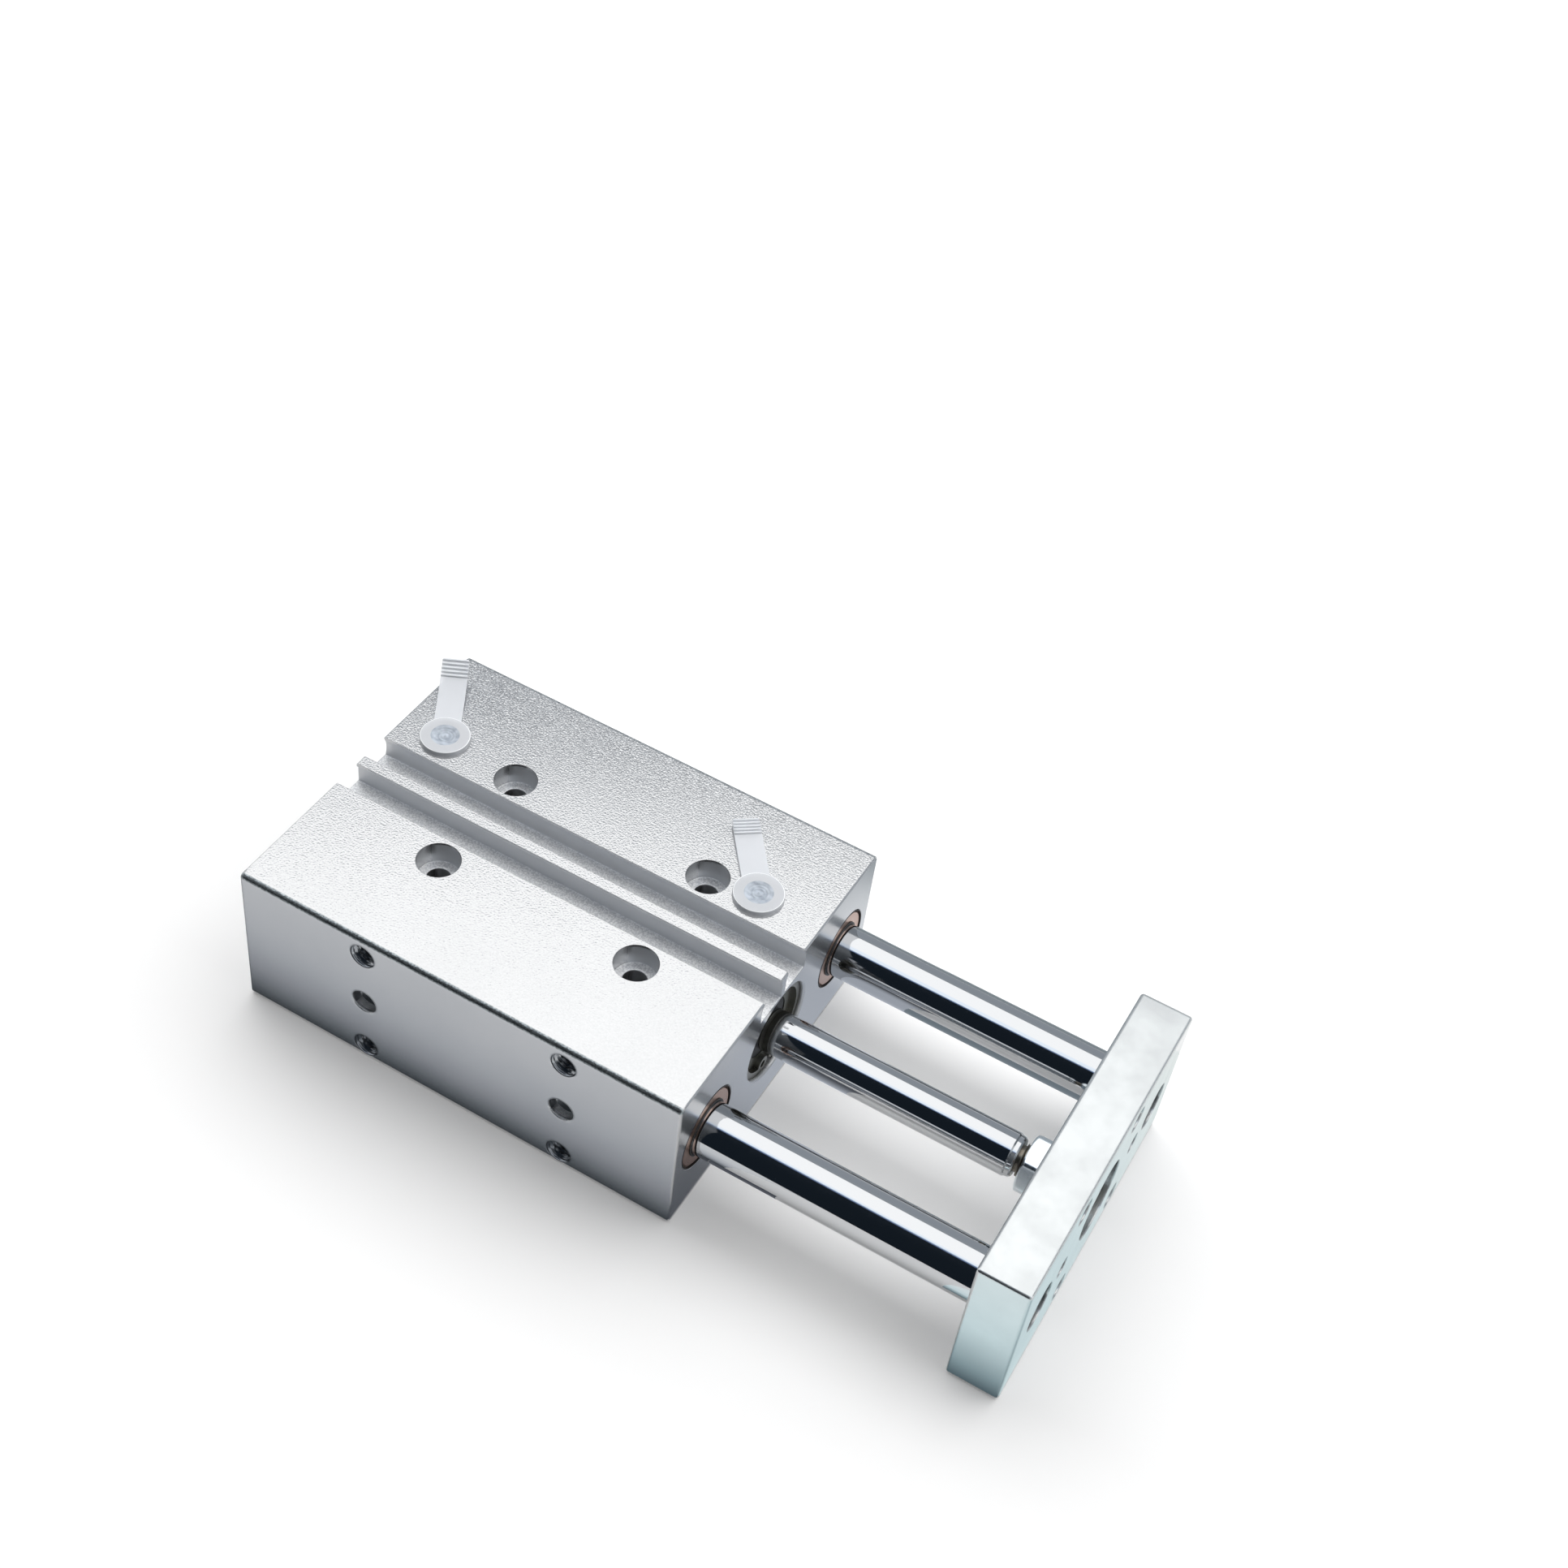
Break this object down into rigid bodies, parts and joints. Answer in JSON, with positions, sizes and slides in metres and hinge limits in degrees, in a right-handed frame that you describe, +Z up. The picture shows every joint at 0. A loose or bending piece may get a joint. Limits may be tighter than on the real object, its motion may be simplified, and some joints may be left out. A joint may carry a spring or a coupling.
{
  "type": "guided pneumatic cylinder",
  "caption": "Air cylinder with a rectangular housing, a central piston rod between guide rods, an end plate, sensor grooves and pull-off port caps.",
  "frame": {"origin": "centre of the four mounting holes on the bottom face of the housing", "axes": "+X along the stroke from the housing to the end plate, +Z up out of the face with the sensor grooves and air ports, +Y completes a right-handed set and points to the half with the ports"},
  "size_m": [0.1518, 0.0676, 0.0359],
  "materials": {
    "body_aluminium": "clear anodised over a fine blasted grain",
    "black_aluminium": "black anodised, turned",
    "black_rubber": "moulded nitrile",
    "bumper_rubber": "moulded urethane",
    "bronze": "sintered bronze, turned",
    "black_steel": "black phosphate",
    "piston_aluminium": "turned",
    "wear_plastic": "moulded acetal",
    "magnet": "bonded ferrite",
    "zinc_steel": "bright zinc plated",
    "plate_steel": "zinc plated, faintly blue",
    "chrome_rod": "ground and hard chromed",
    "screw_steel": "zinc plated",
    "cap_plastic": "translucent moulded polyethylene"
  },
  "bodies": {
    "housing": {"cylinder_body": "body_aluminium", "rod_cover": "black_aluminium", "rod_cover_o_ring": "black_rubber", "rod_bush": "bronze", "rod_seal": "black_rubber", "rod_wiper": "black_rubber", "head_cover": "black_aluminium", "head_cover_o_ring": "black_rubber", "front_snap_ring": "black_steel", "rear_snap_ring": "black_steel", "front_guide_bush_near": "bronze", "front_guide_bush_far": "bronze", "rear_guide_bush_near": "bronze", "rear_guide_bush_far": "bronze"},
    "carriage": {"piston": "piston_aluminium", "piston_wear_ring": "wear_plastic", "piston_magnet": "magnet", "piston_seal": "black_rubber", "front_bumper": "bumper_rubber", "rear_bumper": "bumper_rubber", "piston_nut": "zinc_steel", "piston_rod": "chrome_rod", "rear_rod_nut": "zinc_steel", "front_rod_nut": "zinc_steel", "guide_rod_near": "chrome_rod", "guide_rod_far": "chrome_rod", "end_plate": "plate_steel", "guide_rod_screws": "screw_steel"},
    "rear_cap": {"rear_port_cap": "cap_plastic"},
    "front_cap": {"front_port_cap": "cap_plastic"}
  },
  "joints": [
    {"name": "rod_slide", "type": "slide", "parent": "housing", "child": "carriage", "axis": [1, 0, 0], "range_m": [-0.05, 0]},
    {"name": "rear_cap_pull", "type": "slide", "parent": "housing", "child": "rear_cap", "axis": [0, 0, 1], "range_m": [0, 0.012]},
    {"name": "front_cap_pull", "type": "slide", "parent": "housing", "child": "front_cap", "axis": [0, 0, 1], "range_m": [0, 0.012]}
  ]
}
